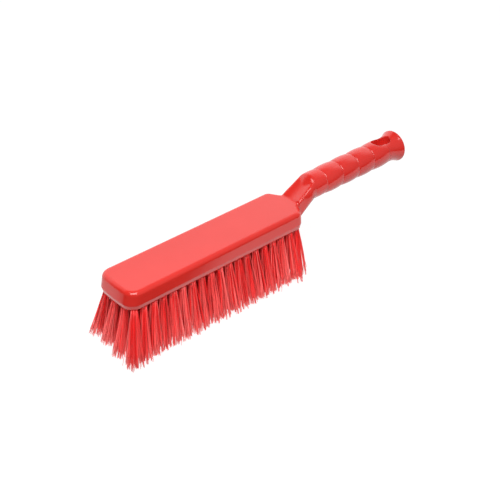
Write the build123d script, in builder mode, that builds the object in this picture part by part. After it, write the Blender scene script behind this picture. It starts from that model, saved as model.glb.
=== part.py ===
from build123d import *
import math
import os

os.makedirs("parts", exist_ok=True)

# Hand broom in millimetres: one moulded block and handle, tufts set in its underside, and the
# flat wire anchors that hold them. +X runs from the block's free end to the handle's end, +Z is
# up, and the bristle tips stand on z = 0 with the origin under the middle of the whole broom.

# Block
block_length = 196.3
block_width = 47.2
block_height = 16.6
lip_height = 4.6
lip_inset = 1.2
wall_inset = 0.6
end_wall_inset = 2.2
top_edge_radius = 4.0
end_bow = 2.3
corner_radius = 11.0
shoulder_length = 7.0
shoulder_radius = 7.0
shoulder_reach = 1.5

# Neck
neck_root_width = 21.4
neck_root_radius = 3.0
neck_foot_rise = 0.2
neck_foot_run = 4.6
neck_seat = 7.0
neck_end_radius = 12.0
neck_blend_radius = 7.0
neck_root_run = 6.8
neck_tuck = 0.4
neck_side_angle = 30.0
neck_foot_angle = 60.0
neck_round_share = 0.99

# Thumb rest: the neck's sloping top, up to a cone that leads on to the round grip
rest_slope = 31.0
rest_length = 21.5
rest_edge_radius = 2.0
crease_run = 1.3
cone_length = 8.0
cone_radius = 3.4
cone_edge_radius = 1.8
neck_end_seat = 2.0

# Grip
neck_run = 36.1
grip_axis_height = 20.9
groove_radius = 12.1
crest_rise = 0.8
crest_place_share = 0.4
first_bulge_rise = 0.3
groove_softness = 0.9
ring_count = 5
ring_pitch = 20.4
flare_length = 17.6
flare_radius = 15.0
flare_waist_share = 0.6
waist_swell = 0.5
rim_length = 1.9
rim_radius = 1.7
slot_length = 21.5
slot_width = 12.0
slot_end_margin = 8.9

# Tufts
bristle_length = 49.0
column_count = 19
tuft_pitch = 10.0
first_tuft = 8.5
row_count = 4
row_spacing = 12.0
last_corner_pull = 2.5
free_end_lean = 11.0
lean_fade_share = 0.55
lean_power = 1.5
side_lean_share = 0.44
strand_count = 6
strand_root_side = 1.2
strand_tip_side = 1.6
root_ring_radius = 1.65
tip_ring_length = 3.9
tip_ring_width = 4.6
strand_embed = 1.0

# Tuft holes and anchors
hole_radius = 2.6
hole_depth = 11.0
tuft_clearance = 0.1
anchor_height = 2.0
anchor_thickness = 0.4
anchor_bite = 0.6
fold_thickness = 1.3

# Cuts run this far past what they cut, and faces this near to a place are taken to lie in it
overrun = 2.0
fit_tolerance = 0.001

# The free end lies where the whole broom, with the tips that lean out past it, is centred on x = 0
moulding_length = block_length + neck_run + (ring_count - 1) * ring_pitch + flare_length
tip_overhang = free_end_lean + tip_ring_length + strand_tip_side / 2 - first_tuft
free_end = -(moulding_length - tip_overhang) / 2
block_end = free_end + block_length
handle_end = free_end + moulding_length
underside = bristle_length
block_top = underside + block_height
grip_axis = underside + grip_axis_height
first_groove = block_end + neck_run
last_groove = first_groove + (ring_count - 1) * ring_pitch
crest_radius = groove_radius + crest_rise


def tuft_mouth(column, row):
    """Middle of a tuft's hole at the underside, as x and y."""
    x = free_end + first_tuft + column * tuft_pitch
    y = (row - (row_count - 1) / 2) * row_spacing
    if column == column_count - 1 and row in (0, row_count - 1):
        y -= math.copysign(last_corner_pull, y)
    return x, y


def tuft_lean(column, row):
    """How far a tuft's tip stands from its mouth, as x and y."""
    fade = max(0, 1 - column / (lean_fade_share * column_count))
    y = tuft_mouth(column, row)[1]
    return -free_end_lean * fade**lean_power, side_lean_share * y


def hole_plane(column, row):
    """Plane at a tuft's mouth whose z runs up the drilled hole, in line with the tuft."""
    x, y = tuft_mouth(column, row)
    lean_x, lean_y = tuft_lean(column, row)
    return Plane(origin=(x, y, underside), x_dir=(1, 0, lean_x / bristle_length),
                 z_dir=(-lean_x, -lean_y, bristle_length))


hole_planes = [[hole_plane(column, row) for row in range(row_count)] for column in range(column_count)]
all_holes = [plane for column in hole_planes for plane in column]
anchor_middle = hole_depth - tuft_clearance - fold_thickness - anchor_height / 2
anchor_length = 2 * (hole_radius + anchor_bite)


# Block and handle, moulded in one piece
half_width = block_width / 2
shoulder_start = block_end - shoulder_length
shoulder_end = block_end + shoulder_reach
rest_rise = math.tan(math.radians(rest_slope))
rest_end = block_end + rest_length
foot_end = block_end + neck_foot_run
root_end = block_end + neck_root_run
neck_foot = underside + neck_foot_rise
root_half = neck_root_width / 2 - neck_tuck


def block_plan(inset, end_inset):
    """The block seen from above, drawn in all round from its widest line, and more at the free end."""
    end = free_end + end_inset - inset
    with BuildSketch() as plan:
        with BuildLine():
            ThreePointArc((end + end_bow, -half_width), (end, 0), (end + end_bow, half_width))
            Polyline((end + end_bow, half_width), (shoulder_start, half_width), (shoulder_end, root_half),
                     (root_end, root_half), (root_end, -root_half), (shoulder_end, -root_half),
                     (shoulder_start, -half_width), (end + end_bow, -half_width))
        make_face()
        corners = plan.vertices().sort_by(Axis.X)
        fillet(corners[:2], radius=corner_radius)
        fillet(plan.vertices().sort_by(Axis.X)[-6:-4], radius=shoulder_radius)
        fillet(plan.vertices().sort_by(Axis.X)[-4:-2], radius=neck_blend_radius)
        offset(amount=-inset, mode=Mode.REPLACE)
    return plan.sketch


def arc(middle, radius, start, end):
    """Start, middle and end of an arc, given by its middle, its radius and its two angles."""
    angles = (math.radians(start), math.radians((start + end) / 2), math.radians(end))
    return [Vector(middle[0] + radius * math.cos(a), middle[1] + radius * math.sin(a)) for a in angles]


def neck_points(top, share):
    """Half of the neck's outline, top to foot, as points: a corner, a side and a second corner.

    The share runs from 0, a bar with rounded edges, to 1, the round grip with a flat on top."""
    side, edge, foot = neck_root_width / 2, rest_edge_radius, neck_root_radius
    bar = arc((side - edge, top - edge), edge, 90, 0) + arc((side - foot, neck_foot + foot), foot, 0, -90)
    bar.insert(3, (bar[2] + bar[3]) / 2)
    height = top - edge - grip_axis
    flat = math.sqrt((neck_end_radius - edge) ** 2 - height**2)
    tilt = math.degrees(math.atan2(height, flat))
    axis = (0, grip_axis)
    round_end = arc((flat, top - edge), edge, 90, tilt)
    round_end += arc(axis, neck_end_radius, tilt, -neck_side_angle)[1:2]
    round_end += arc(axis, neck_end_radius, -neck_side_angle, -neck_foot_angle)
    return [here * (1 - share) + there * share for here, there in zip(bar, round_end)]


def neck_outline(x, rise, share):
    """The neck cut across at x."""
    right = neck_points(block_top + rise, share)
    left = [Vector(-point.X, point.Y) for point in right[::-1]]
    foot_middle = (Vector(0, neck_foot) * (1 - share)) + Vector(0, grip_axis - neck_end_radius) * share
    with BuildSketch(Plane.YZ.offset(x)) as outline:
        with BuildLine():
            for half in (right, left):
                for first in range(0, len(half) - 1, 2):
                    bent = half[first:first + 3]
                    straight = abs((bent[1] - bent[0]).cross(bent[2] - bent[1]).Z) < fit_tolerance
                    if straight:
                        Line(bent[0], bent[2])
                    else:
                        ThreePointArc(*bent)
            if share:
                ThreePointArc(right[-1], foot_middle, left[0])
            else:
                Line(right[-1], left[0])
            Line(left[-1], right[0])
        make_face()
    return outline.sketch


with BuildPart() as moulding:
    # Block: a lip that widens up from the underside, then walls that draw in to the top
    for height, inset, end_inset in ((0, lip_inset, lip_inset), (lip_height, 0, 0),
                                     (block_height, wall_inset, end_wall_inset)):
        with BuildSketch(Plane.XY.offset(underside + height)):
            add(block_plan(inset, end_inset))
    loft(ruled=True)
    fillet(moulding.edges().group_by(Axis.Z)[-1], radius=top_edge_radius)

    # Neck: from a rounded bar in the block's end, up along the thumb rest's slope, into the round grip
    stations = [(block_end - neck_seat, 0), (block_end - crease_run, 0),
                (block_end, crease_run * rest_rise / 4), (block_end + crease_run, crease_run * rest_rise),
                (foot_end, neck_foot_run * rest_rise), (rest_end, rest_length * rest_rise),
                (rest_end + neck_end_seat, rest_length * rest_rise)]
    for x, rise in stations:
        share = min(1, max(0, x - foot_end) / (rest_end - foot_end))
        add(neck_outline(x, rise, neck_round_share * share))
    loft(ruled=True)

    # Grip: ringed, and flared at its end
    with BuildSketch(Plane.XZ) as grip:
        with BuildLine():
            cone_start = rest_end - cone_length
            Polyline((cone_start, grip_axis), (cone_start, grip_axis + cone_radius),
                     (rest_end, grip_axis + groove_radius))
            bulge_start = rest_end
            for ring in range(ring_count):
                bulge_end = first_groove + ring * ring_pitch
                crest = bulge_start + crest_place_share * (bulge_end - bulge_start)
                rise = crest_rise if ring else first_bulge_rise
                ThreePointArc((bulge_start, grip_axis + groove_radius), (crest, grip_axis + groove_radius + rise),
                              (bulge_end, grip_axis + groove_radius))
                bulge_start = bulge_end
            waist = (last_groove + flare_waist_share * (flare_length - rim_length),
                     grip_axis + groove_radius + waist_swell)
            rim = (handle_end - rim_length, grip_axis + flare_radius)
            ThreePointArc((last_groove, grip_axis + groove_radius), waist, rim)
            Polyline(rim, (handle_end, grip_axis + flare_radius), (handle_end, grip_axis), (cone_start, grip_axis))
        make_face()
        outer = grip.vertices().filter_by(lambda v: v.Y > grip_axis + groove_radius / 2).sort_by(Axis.X)
        fillet(outer[1:-2], radius=groove_softness)
        outer = grip.vertices().filter_by(lambda v: v.Y > grip_axis + groove_radius / 2).sort_by(Axis.X)
        fillet(outer[-1], radius=rim_radius)
        outer = grip.vertices().filter_by(lambda v: v.Y > grip_axis + groove_radius / 2).sort_by(Axis.X)
        fillet(outer[0], radius=cone_edge_radius)
    revolve(axis=Axis((0, 0, grip_axis), (1, 0, 0)))

    # Hanging slot
    slot_middle = handle_end - slot_end_margin - slot_length / 2
    with BuildSketch(Plane.XY.offset(grip_axis)):
        with Locations((slot_middle, 0)):
            SlotOverall(slot_length, slot_width)
    extrude(amount=flare_radius + overrun, both=True, mode=Mode.SUBTRACT)

    # Blind tuft holes, each with the notches that its anchor has bitten into the walls
    with Locations(*[plane.offset(-overrun) for plane in all_holes]):
        Cylinder(hole_radius, hole_depth + overrun, align=(Align.CENTER, Align.CENTER, Align.MIN),
                 mode=Mode.SUBTRACT)
    with Locations(*[plane.offset(anchor_middle) for plane in all_holes]):
        Box(anchor_length, anchor_thickness, anchor_height, mode=Mode.SUBTRACT)
moulding.part.label = "block_and_handle"
export_step(moulding.part, "parts/block_and_handle.step")


def strand(root, root_side, tip, tip_side, turn):
    """One straight four-sided strand, from the square at its root to the one at its tip."""
    squares = [Pos(*root) * Rot(0, 0, turn) * Rectangle(root_side, root_side),
               Pos(*tip) * Rot(0, 0, turn) * Rectangle(tip_side, tip_side)]
    return loft(squares, ruled=True)


def tuft_strands(column, row):
    """The strands of one tuft, which open out from a ring in its hole to a wider ring at the tips."""
    x, y = tuft_mouth(column, row)
    lean_x, lean_y = tuft_lean(column, row)
    made = []
    for number in range(strand_count):
        turn = 360 * number / strand_count
        across, along = math.cos(math.radians(turn)), math.sin(math.radians(turn))
        root = (x + root_ring_radius * across, y + root_ring_radius * along, underside + strand_embed)
        tip = (x + lean_x + tip_ring_length * across, y + lean_y + tip_ring_width * along, 0)
        made.append(strand(root, strand_root_side, tip, strand_tip_side, turn))
    return made


# Tufts: one row across the block at a time, each tuft folded round its anchor at its root
root_radius = hole_radius - tuft_clearance
for column in range(column_count):
    strands = [made for row in range(row_count) for made in tuft_strands(column, row)]
    with BuildPart() as tuft_row:
        with Locations(*hole_planes[column]):
            Cylinder(root_radius, hole_depth - tuft_clearance, align=(Align.CENTER, Align.CENTER, Align.MIN))
        with Locations(*[plane.offset(anchor_middle) for plane in hole_planes[column]]):
            Box(anchor_length, anchor_thickness, anchor_height, mode=Mode.SUBTRACT)
        add(strands)
    tuft_row.part.label = f"tuft_row_{column + 1:02d}"
    export_step(tuft_row.part, f"parts/{tuft_row.part.label}.step")

# Anchors: a short piece of flat wire across each hole, driven into the plastic at both ends
with BuildPart() as anchors:
    with Locations(*[plane.offset(anchor_middle) for plane in all_holes]):
        Box(anchor_length, anchor_thickness, anchor_height)
anchors.part.label = "tuft_anchors"
export_step(anchors.part, "parts/tuft_anchors.step")
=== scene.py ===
import math

import bpy
import numpy as np
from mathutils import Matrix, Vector


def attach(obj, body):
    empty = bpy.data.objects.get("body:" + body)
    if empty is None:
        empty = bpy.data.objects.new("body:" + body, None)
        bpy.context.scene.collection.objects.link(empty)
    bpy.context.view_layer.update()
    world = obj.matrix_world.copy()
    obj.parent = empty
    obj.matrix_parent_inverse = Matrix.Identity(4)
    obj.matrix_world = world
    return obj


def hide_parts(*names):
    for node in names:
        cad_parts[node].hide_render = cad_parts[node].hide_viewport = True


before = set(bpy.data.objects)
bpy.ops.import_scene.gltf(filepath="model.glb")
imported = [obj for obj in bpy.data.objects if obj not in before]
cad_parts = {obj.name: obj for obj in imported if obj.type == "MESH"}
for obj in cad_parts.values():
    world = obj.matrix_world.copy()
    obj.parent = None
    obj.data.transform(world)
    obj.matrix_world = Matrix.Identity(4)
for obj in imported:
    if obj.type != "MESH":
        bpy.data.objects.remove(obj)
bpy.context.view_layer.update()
rng = np.random.default_rng(7)

MM = 0.001

# ---------------------------------------------------------------- the broom, in millimetres
# The block's free end and underside, and the tufts' holes, as part.py has them
FREE_END, UNDERSIDE = -162.2, 49.0
COLUMNS, ROWS = 19, 4
PITCH, FIRST, ACROSS = 10.0, 8.5, 12.0
CORNER_PULL = 2.5  # the outer tufts of the last column stand in by this much

# How far a tuft's tips stand out from its hole. At the free end they lean forward, which fades along
# the block; they lean out sideways with the distance from the middle, and the near row leans further
# out at both ends.
LEAN, LEAN_FADE, LEAN_POWER = 11.0, 0.55, 1.5
SIDE_LEAN, CORNER_LEAN = 0.44, 3.5
FAR_SHARE = 0.65   # share of the forward lean for the far rows of the first column
LAST_LEAN = 2.0    # of the last column, back under the block
LEAN_WANDER = 0.5

# A tuft's filaments lie in locks. Radii are those of a tuft's section at its hole and at its tips.
FILAMENTS, LOCKS = 168, 28
FILAMENT_RADIUS, SIDES, RINGS = 0.26, 3, 6
HOLE_FILL, TIP_SPREAD = 2.45, (6.9, 7.0)
INSIDE = 2.5       # filaments start this far inside the block
ROOT_JITTER, LOCK_JITTER = 0.14, 0.8
TIP_JITTER, LOOSE_TIP_JITTER = 0.42, 1.0
STRAY_SHARE, LOOSE_STRAY_SHARE, STRAY_REACH = 0.05, 0.01, 1.7
LONE_FILAMENT = (12.0, 1.5)
UNEVEN_LOCKS, SHORT_SHARE, SHORT_BY = 2.4, 0.1, (0.5, 4.0)
UNEVEN_TIPS, TIP_CLEARANCE = 0.7, 0.15
LOCK_BOW, FILAMENT_BOW, STRAY_BOW = 0.5, 0.12, 2.5
SHADE, LOCK_SHADES, FILAMENT_SHADES = 0.45, 0.28, 0.1
TAPER_FROM, TIP_TAPER = 0.8, 0.75
GOLDEN_ANGLE = 2.39996323

# ---------------------------------------------------------------- the moulding's shading, in metres
REST_MIDDLE = (0.048, 0.0, 0.075)
REST_ROUNDING, EDGE_ROUNDING = 4.6 * MM, 1.5 * MM
FIRST_GROOVE, RING_PITCH = 0.0702, 0.0204
MIDDLE_GROOVE = 2 * RING_PITCH
NECK_HALF_WIDTH = 0.009

# ---------------------------------------------------------------- strengths of the light
TABLE = 1.15       # the lit table under and round the broom
MIRRORED = 1.07    # what the table shows in reflections
FLOOR_BOUNCE = 0.3
PANEL = 1.3        # the panel behind the broom
FRONT, ROUND = 0.34, 0.03  # fill from above in front, and from all round
KEY, TUFTS = 20.5, 6.1     # the softbox and the tufts' own light, in watts
SEEN_WHITE, SEEN_SHADE = 0.84, 0.24  # the floor to the camera: its own white, and what lamps add


# ---------------------------------------------------------------- node helpers
# A value is a number or another node's output.
def connect(tree, value, socket):
    if isinstance(value, (int, float)):
        socket.default_value = value
    else:
        tree.links.new(value, socket)


def calculate(tree, operation, *values):
    """One Math node."""
    node = tree.nodes.new("ShaderNodeMath")
    node.operation = operation
    for socket, value in zip(node.inputs, values):
        connect(tree, value, socket)
    return node.outputs["Value"]


def ramp(tree, value, results, positions=(0.35, 0.65), smooth=False):
    """Turns the positions, low and high, into the results."""
    node = tree.nodes.new("ShaderNodeMapRange")
    node.inputs["From Min"].default_value, node.inputs["From Max"].default_value = positions
    node.inputs["To Min"].default_value, node.inputs["To Max"].default_value = results
    if smooth:
        node.interpolation_type = "SMOOTHSTEP"
    tree.links.new(value, node.inputs["Value"])
    return node.outputs["Result"]


def slope(tree, place, direction, results, positions, smooth=True):
    """A ramp over the distance along a direction."""
    node = tree.nodes.new("ShaderNodeVectorMath")
    node.operation = "DOT_PRODUCT"
    node.inputs[1].default_value = direction
    tree.links.new(place, node.inputs[0])
    return ramp(tree, node.outputs["Value"], results, positions, smooth)


def noise(tree, scale, detail=2.0, roughness=0.5):
    coordinates = tree.nodes.new("ShaderNodeTexCoord")
    texture = tree.nodes.new("ShaderNodeTexNoise")
    texture.inputs["Scale"].default_value = scale
    texture.inputs["Detail"].default_value = detail
    texture.inputs["Roughness"].default_value = roughness
    tree.links.new(coordinates.outputs["Object"], texture.inputs["Vector"])
    return texture.outputs["Fac"]


def separate(tree, vector):
    node = tree.nodes.new("ShaderNodeSeparateXYZ")
    tree.links.new(vector, node.inputs["Vector"])
    return node.outputs["X"], node.outputs["Y"], node.outputs["Z"]


def colour_mix(tree, factor, a, b):
    node = tree.nodes.new("ShaderNodeMix")
    node.data_type = "RGBA"
    node.inputs["A"].default_value = (*a, 1)
    node.inputs["B"].default_value = (*b, 1)
    tree.links.new(factor, node.inputs["Factor"])
    return node.outputs["Result"]


def bump(tree, height, strength, distance, normal):
    node = tree.nodes.new("ShaderNodeBump")
    node.inputs["Strength"].default_value = strength
    node.inputs["Distance"].default_value = distance
    tree.links.new(height, node.inputs["Height"])
    tree.links.new(normal, node.inputs["Normal"])
    return node.outputs["Normal"]


def glowing(tree, kind, strength):
    """An Emission or Background shader in white."""
    node = tree.nodes.new(kind)
    node.inputs["Color"].default_value = (1, 1, 1, 1)
    connect(tree, strength, node.inputs["Strength"])
    return node.outputs[0]


def diffuse(tree, grey):
    node = tree.nodes.new("ShaderNodeBsdfDiffuse")
    node.inputs["Color"].default_value = (grey, grey, grey, 1)
    return node.outputs[0]


def add_shaders(tree, a, b):
    node = tree.nodes.new("ShaderNodeAddShader")
    tree.links.new(a, node.inputs[0])
    tree.links.new(b, node.inputs[1])
    return node.outputs[0]


def mix_shaders(tree, factor, a, b):
    node = tree.nodes.new("ShaderNodeMixShader")
    tree.links.new(factor, node.inputs["Fac"])
    tree.links.new(a, node.inputs[1])
    tree.links.new(b, node.inputs[2])
    return node.outputs[0]


def light_path(tree, name):
    return tree.nodes.new("ShaderNodeLightPath").outputs[name]


def empty_tree(owner):
    owner.use_nodes = True
    owner.node_tree.nodes.clear()
    return owner.node_tree


# ---------------------------------------------------------------- materials
def new_material(name):
    material = bpy.data.materials.new(name)
    tree = empty_tree(material)
    output = tree.nodes.new("ShaderNodeOutputMaterial")
    shader = tree.nodes.new("ShaderNodeBsdfPrincipled")
    tree.links.new(shader.outputs["BSDF"], output.inputs["Surface"])
    return material, tree, shader


def edge_rounding(tree, place):
    """Every edge of a moulding is a little rounded, and those of the thumb rest more so."""
    reach = tree.nodes.new("ShaderNodeVectorMath")
    reach.operation = "DISTANCE"
    reach.inputs[1].default_value = REST_MIDDLE
    tree.links.new(place, reach.inputs[0])
    rounded = tree.nodes.new("ShaderNodeBevel")
    rounded.samples = 16
    radius = ramp(tree, reach.outputs["Value"], (REST_ROUNDING, EDGE_ROUNDING), (16 * MM, 28 * MM))
    tree.links.new(radius, rounded.inputs["Radius"])
    return rounded.outputs["Normal"]


def groove_height(tree, x):
    """The rings' grooves end in a sharp line."""
    from_first = calculate(tree, "SUBTRACT", x, FIRST_GROOVE)
    ring = calculate(tree, "WRAP", from_first, RING_PITCH / 2, -RING_PITCH / 2)
    depth = ramp(tree, calculate(tree, "ABSOLUTE", ring), (-1.0, 0.0), (0.0, 0.9 * MM), smooth=True)
    from_middle = calculate(tree, "ABSOLUTE", calculate(tree, "SUBTRACT", from_first, MIDDLE_GROOVE))
    on_grip = calculate(tree, "LESS_THAN", from_middle, MIDDLE_GROOVE + 0.2 * RING_PITCH)
    return calculate(tree, "MULTIPLY", depth, on_grip)


def neck_height(tree, x, y):
    """The sloping face of the neck is a little hollow from side to side."""
    sideways = calculate(tree, "MULTIPLY", y, 1 / NECK_HALF_WIDTH)
    from_block = ramp(tree, x, (0.0, 1.0), (33.5 * MM, 36.5 * MM), smooth=True)
    to_grip = ramp(tree, x, (1.0, 0.0), (50 * MM, 57 * MM), smooth=True)
    return calculate(tree, "MULTIPLY", calculate(tree, "MULTIPLY", sideways, sideways),
                     calculate(tree, "MULTIPLY", from_block, to_grip))


def moulded_plastic():
    material, tree, shader = new_material("red_moulded_plastic")
    shader.inputs["IOR"].default_value = 1.57
    drift = ramp(tree, noise(tree, 14.0, 3.0), (0.0, 1.0))
    tint = colour_mix(tree, drift, (0.80, 0.030, 0.022), (0.86, 0.036, 0.027))
    tree.links.new(tint, shader.inputs["Base Color"])
    haze = ramp(tree, noise(tree, 90.0, 4.0, 0.6), (0.12, 0.17))
    tree.links.new(haze, shader.inputs["Roughness"])
    place = tree.nodes.new("ShaderNodeTexCoord").outputs["Object"]
    x, y, _ = separate(tree, place)
    normal = edge_rounding(tree, place)
    normal = bump(tree, groove_height(tree, x), 0.8, 0.35 * MM, normal)
    normal = bump(tree, neck_height(tree, x, y), 1.0, 1.2 * MM, normal)
    # slow ripple and fine grain of the surface
    ripple, grain = noise(tree, 60.0, 2.0), noise(tree, 900.0, 3.0)
    normal = bump(tree, calculate(tree, "MULTIPLY_ADD", grain, 0.02, ripple), 0.4, 0.35 * MM, normal)
    tree.links.new(normal, shader.inputs["Normal"])
    return material


def bristle_plastic():
    material, tree, shader = new_material("red_bristle_filament")
    shader.inputs["IOR"].default_value = 1.5
    shader.inputs["Roughness"].default_value = 0.34
    shade = tree.nodes.new("ShaderNodeAttribute")
    shade.attribute_name = "shade"
    # painted shade: filaments are darker towards the block, whose lip shades them, and paler towards
    # their tips
    _, _, z = separate(tree, tree.nodes.new("ShaderNodeTexCoord").outputs["Object"])
    painted_shade_under_block = ramp(tree, z, (0.17, -0.30), (0.0, 46 * MM))
    paleness = calculate(tree, "ADD", shade.outputs["Fac"], painted_shade_under_block)
    tint = colour_mix(tree, paleness, (0.86, 0.014, 0.014), (1.0, 0.18, 0.17))
    tree.links.new(tint, shader.inputs["Base Color"])
    return material


def anchor_steel():
    material, tree, shader = new_material("flat_steel_wire")
    shader.inputs["Metallic"].default_value = 1.0
    drawn = noise(tree, 700.0, 3.0)
    tree.links.new(colour_mix(tree, drawn, (0.46, 0.46, 0.45), (0.62, 0.62, 0.60)),
                   shader.inputs["Base Color"])
    tree.links.new(ramp(tree, drawn, (0.25, 0.4)), shader.inputs["Roughness"])
    return material


for name, material in (("block_and_handle", moulded_plastic()), ("tuft_anchors", anchor_steel())):
    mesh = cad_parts[name].data
    mesh.materials.clear()
    mesh.materials.append(material)
BRISTLE = bristle_plastic()


# ---------------------------------------------------------------- tufts
def mouth(column, row):
    """Where a tuft's hole opens on the underside."""
    x = FREE_END + FIRST + column * PITCH
    y = (row - (ROWS - 1) / 2) * ACROSS
    if column == COLUMNS - 1 and row in (0, ROWS - 1):
        y -= math.copysign(CORNER_PULL, y)
    return x, y


def lean(column, row):
    """How far a tuft's tips stand out from its hole, along and across the block."""
    fade = max(0.0, 1 - column / (LEAN_FADE * COLUMNS))
    ends = max(0.0, 1 - column / 3, 1 - (COLUMNS - 1 - column) / 2)
    near = CORNER_LEAN * ends if row == 0 else 0.0
    wander = rng.normal(0, LEAN_WANDER, 2)
    share = FAR_SHARE if column == 0 and row > 1 else 1.0
    last = LAST_LEAN if column == COLUMNS - 1 else 0.0
    return (-LEAN * share * fade**LEAN_POWER - last + wander[0],
            SIDE_LEAN * mouth(column, row)[1] - near + wander[1])


def spiral(count, turn):
    """Points spread evenly over a unit disc."""
    k = np.arange(count) + 0.5
    a = k * GOLDEN_ANGLE + turn
    return np.sqrt(k / count)[:, None] * np.stack([np.cos(a), np.sin(a)], 1)


def tuft(column, row):
    """Centre lines and shades of one tuft's filaments, in millimetres."""
    x, y = mouth(column, row)
    lean_x, lean_y = lean(column, row)
    loose = column == 0
    # filaments leave the hole packed evenly, and lie together in thin locks that open out
    locks = spiral(LOCKS, rng.uniform(0, 6.28))
    lock = np.arange(FILAMENTS) % LOCKS
    n = FILAMENTS
    root = locks[lock] * HOLE_FILL + rng.normal(0, ROOT_JITTER, (n, 2))
    centres = locks * TIP_SPREAD + rng.normal(0, LOCK_JITTER, (LOCKS, 2))
    tip = centres[lock] + rng.normal(0, LOOSE_TIP_JITTER if loose else TIP_JITTER, (n, 2))
    stray = rng.random(n) < (LOOSE_STRAY_SHARE if loose else STRAY_SHARE)
    tip[stray] += rng.normal(0, STRAY_REACH, (stray.sum(), 2))
    short_of_floor = rng.uniform(0, UNEVEN_LOCKS, LOCKS)
    if column == COLUMNS - 1 and row == 0:
        tip[0] = LONE_FILAMENT
    short = rng.random(LOCKS) < SHORT_SHARE
    short_of_floor[short] += rng.uniform(*SHORT_BY, short.sum())
    tip_z = short_of_floor[lock] + np.abs(rng.normal(0, UNEVEN_TIPS, n)) + TIP_CLEARANCE
    bow = rng.normal(0, LOCK_BOW, (LOCKS, 2))[lock] + rng.normal(0, FILAMENT_BOW, (n, 2))
    bow[stray] *= STRAY_BOW
    lines = np.zeros((n, RINGS, 3))
    start = UNDERSIDE + INSIDE
    for i, u in enumerate(np.linspace(0, 1, RINGS)):
        z = start + (tip_z - start) * u
        free = np.clip((UNDERSIDE - z) / UNDERSIDE, -0.1, 1)[:, None]
        spread = np.clip(free, 0, 1)
        offset = root * (1 - spread) + tip * spread
        offset = offset + bow * (spread * (1 - spread) * 4)
        lines[:, i, 0] = x + lean_x * free[:, 0] + offset[:, 0]
        lines[:, i, 1] = y + lean_y * free[:, 0] + offset[:, 1]
        lines[:, i, 2] = z
    shade = rng.normal(SHADE, LOCK_SHADES, LOCKS)[lock] + rng.normal(0, FILAMENT_SHADES, n)
    return lines, np.clip(shade, 0, 1)


def tube_mesh(name, lines, shade):
    """One mesh of three-sided tubes along the given centre lines, in metres."""
    n, rings, _ = lines.shape
    along = np.gradient(lines, axis=1)
    along /= np.linalg.norm(along, axis=2, keepdims=True)
    side = np.cross(along, np.array([0.0, 1.0, 0.0]))
    side /= np.linalg.norm(side, axis=2, keepdims=True)
    other = np.cross(along, side)
    turn = rng.uniform(0, 2 * np.pi, n)
    taper = np.interp(np.linspace(0, 1, rings), [0, TAPER_FROM, 1], [1, 1, TIP_TAPER])
    verts = np.zeros((n, rings, SIDES, 3))
    for s in range(SIDES):
        angle = turn + 2 * np.pi * s / SIDES
        verts[:, :, s] = lines + FILAMENT_RADIUS * taper[None, :, None] * (
            np.cos(angle)[:, None, None] * side + np.sin(angle)[:, None, None] * other)
    index = np.arange(n * rings * SIDES).reshape(n, rings, SIDES)
    faces = []
    for s in range(SIDES):
        q = (s + 1) % SIDES
        quad = np.stack([index[:, :-1, s], index[:, :-1, q], index[:, 1:, q], index[:, 1:, s]], -1)
        faces.append(quad.reshape(-1, 4))
    quads = np.concatenate(faces)
    caps = np.concatenate([index[:, -1, :], index[:, 0, ::-1]])
    mesh = bpy.data.meshes.new(name)
    mesh.from_pydata((verts.reshape(-1, 3) * MM).tolist(), [], quads.tolist() + caps.tolist())
    attribute = mesh.attributes.new("shade", "FLOAT", "POINT")
    attribute.data.foreach_set("value", np.repeat(shade, rings * SIDES).astype(np.float32))
    mesh.polygons.foreach_set("use_smooth", [True] * len(quads) + [False] * len(caps))
    mesh.update()
    mesh.validate()
    return mesh


# the collection of all tufts, for their own light
tufts = bpy.data.collections.new("tufts")
for column in range(COLUMNS):
    made = [tuft(column, row) for row in range(ROWS)]
    lines = np.concatenate([m[0] for m in made])
    shade = np.concatenate([m[1] for m in made])
    name = f"bristles_row_{column + 1:02d}"
    mesh = tube_mesh(name, lines, shade)
    mesh.materials.append(BRISTLE)
    piece = bpy.data.objects.new(name, mesh)
    bpy.context.scene.collection.objects.link(piece)
    tufts.objects.link(piece)
    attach(piece, "root")
    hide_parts(f"tuft_row_{column + 1:02d}")


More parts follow.
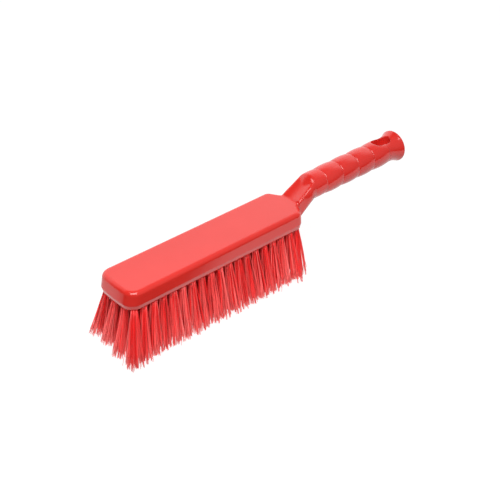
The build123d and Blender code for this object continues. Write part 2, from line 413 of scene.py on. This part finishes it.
# ---------------------------------------------------------------- floor
def floor_material():
    """White to the camera, with a faint shadow, and clear from below, so that the underside can be
    looked at. Reflections find it bright behind the object and close to it, and dark on the camera's
    side, as on a table lit from behind."""
    material = bpy.data.materials.new("floor_white")
    tree = empty_tree(material)
    output = tree.nodes.new("ShaderNodeOutputMaterial")
    geometry = tree.nodes.new("ShaderNodeNewGeometry")
    place = geometry.outputs["Position"]
    seen = add_shaders(tree, glowing(tree, "ShaderNodeEmission", SEEN_WHITE), diffuse(tree, SEEN_SHADE))
    # what reflections find: the table behind, and the strip that shines in the block's lip
    behind = slope(tree, place, (0.57, 0.82, 0), (0.0, MIRRORED), (-0.114, -0.076))
    close = calculate(tree, "MULTIPLY",
                      slope(tree, place, (0, 1, 0), (0.0, MIRRORED), (-0.060, -0.045)),
                      slope(tree, place, (1, 0, 0), (0.0, 1.0), (-0.200, -0.185)))
    mirrored = glowing(tree, "ShaderNodeEmission", calculate(tree, "MAXIMUM", behind, close))
    # what lights the object from below
    near = slope(tree, place, (0.243, 0.970, 0), (0.0, TABLE), (-0.096, -0.064))
    left = slope(tree, place, (1, 0, 0), (0.0, 1.0), (-0.230, -0.195))
    right = slope(tree, place, (1, 0, 0), (1.0, 0.15), (0.0, 0.10))
    lit = calculate(tree, "MULTIPLY", calculate(tree, "MULTIPLY", near, left), right)
    under = add_shaders(tree, diffuse(tree, FLOOR_BOUNCE), glowing(tree, "ShaderNodeEmission", lit))
    unseen = mix_shaders(tree, light_path(tree, "Is Glossy Ray"), under, mirrored)
    above = mix_shaders(tree, light_path(tree, "Is Camera Ray"), unseen, seen)
    clear = tree.nodes.new("ShaderNodeBsdfTransparent").outputs[0]
    tree.links.new(mix_shaders(tree, geometry.outputs["Backfacing"], above, clear),
                   output.inputs["Surface"])
    return material


bpy.ops.mesh.primitive_plane_add(size=8.0, location=(0, 0, 0))
floor = bpy.context.object
floor.name = "floor"
floor.data.materials.append(floor_material())

# ---------------------------------------------------------------- world
# A studio, bright behind the object and dim on the camera's side
world = bpy.data.worlds.new("studio")
bpy.context.scene.world = world
tree = empty_tree(world)
output = tree.nodes.new("ShaderNodeOutputWorld")
way = tree.nodes.new("ShaderNodeTexCoord").outputs["Generated"]
panel = calculate(tree, "MULTIPLY",
                  slope(tree, way, (0.58, 0.81, 0), (0.0, PANEL), (0.05, 0.5)),
                  slope(tree, way, (0, 0, 1), (1.0, 0.0), (0.64, 0.94)))
front = slope(tree, way, (0.25, -0.62, 0.74), (ROUND, ROUND + FRONT), (0.45, 0.95))
sky = glowing(tree, "ShaderNodeBackground", calculate(tree, "ADD", panel, front))
backdrop = glowing(tree, "ShaderNodeBackground", 1.0)
tree.links.new(mix_shaders(tree, light_path(tree, "Is Camera Ray"), sky, backdrop),
               output.inputs["Surface"])


# ---------------------------------------------------------------- lamps
def area_light(name, location, target, size, power):
    lamp = bpy.data.lights.new(name, "AREA")
    lamp.shape = "RECTANGLE"
    lamp.size, lamp.size_y = size
    lamp.energy = power
    light = bpy.data.objects.new(name, lamp)
    light.location = location
    light.rotation_mode = "QUATERNION"
    light.rotation_quaternion = (Vector(target) - Vector(location)).to_track_quat("-Z", "Y")
    bpy.context.scene.collection.objects.link(light)
    return light


# Filaments let light through and pass it on, which solid colour doesn't, so a broad soft light in
# front of the tufts makes up for it
tuft_fill = area_light("tuft_fill", (-0.55, -0.72, 0.58), (-0.06, 0, 0.02), (1.0, 0.6), TUFTS)
tuft_fill.light_linking.receiver_collection = tufts
area_light("key", (-0.595, -0.585, 1.35), (-0.10, 0, 0.06), (1.2, 0.95), KEY)

# ---------------------------------------------------------------- camera, as in the photograph
# Fitted to the photograph's outlines: pixels of its 500 and millimetres
FRAME_PX, SENSOR = 500.0, 36.0
FOCAL_PX, SHIFT_X_PX, SHIFT_Y_PX = 1194.41, 7.65, -21.8
AZIMUTH, ELEVATION, DISTANCE = math.radians(41.12), math.radians(33.8), 1038.9
aim = np.array([140.0 + FREE_END, 0.0, 10.0 + UNDERSIDE])
forward = np.array([math.cos(ELEVATION) * math.sin(AZIMUTH),
                    math.cos(ELEVATION) * math.cos(AZIMUTH),
                    -math.sin(ELEVATION)])
lens = bpy.data.cameras.new("camera")
lens.sensor_width = SENSOR
lens.lens = FOCAL_PX * SENSOR / FRAME_PX
lens.shift_x = SHIFT_X_PX / FRAME_PX
lens.shift_y = SHIFT_Y_PX / FRAME_PX
lens.clip_start, lens.clip_end = 0.01, 20.0
camera = bpy.data.objects.new("camera", lens)
camera.location = Vector(aim - forward * DISTANCE) * MM
camera.rotation_mode = "QUATERNION"
camera.rotation_quaternion = Vector(forward).to_track_quat("-Z", "Y")
bpy.context.scene.collection.objects.link(camera)
bpy.context.scene.camera = camera

bpy.context.scene.view_settings.view_transform = "Standard"
